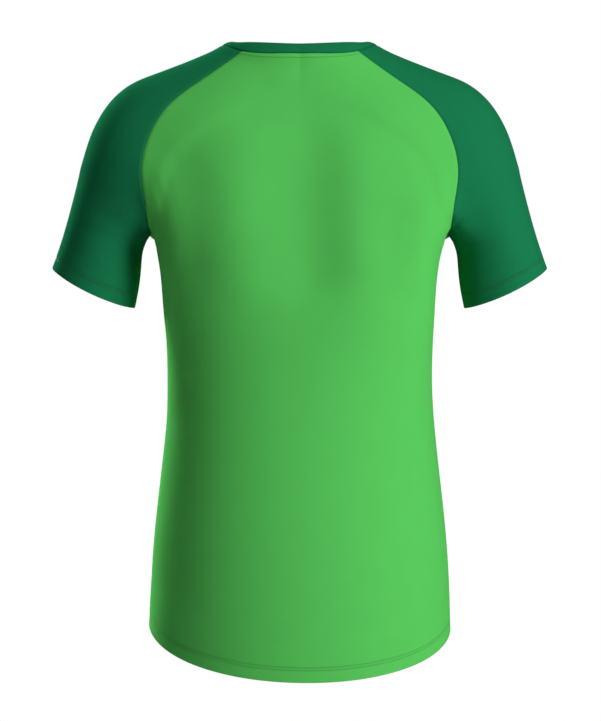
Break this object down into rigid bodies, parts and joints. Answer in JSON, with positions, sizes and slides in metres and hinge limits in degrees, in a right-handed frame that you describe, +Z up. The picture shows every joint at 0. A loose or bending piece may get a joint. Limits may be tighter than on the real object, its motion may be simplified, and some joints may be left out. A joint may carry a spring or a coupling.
{
  "type": "sports t-shirt",
  "caption": "Short-sleeved raglan sports t-shirt of knit cloth, filled out as if worn, with a narrow neckband, curved hem and open neck, cuffs and hem.",
  "frame": {"origin": "middle of the neck opening, level with the high points of the neck seam, where a wearer's neck holds the shirt up", "axes": "+Z up through the neck opening, +X towards the wearer's left sleeve, +Y out of the back; the front faces -Y"},
  "size_m": [0.5558, 0.2591, 0.7048],
  "materials": {
    "body_cloth": "matt fine knit, light green",
    "sleeve_cloth": "matt fine knit, dark green",
    "collar_cloth": "matt double knit, dark green"
  },
  "bodies": {
    "root": {"back": "body_cloth", "front": "body_cloth", "sleeve_left": "sleeve_cloth", "sleeve_right": "sleeve_cloth", "collar": "collar_cloth"}
  },
  "joints": []
}
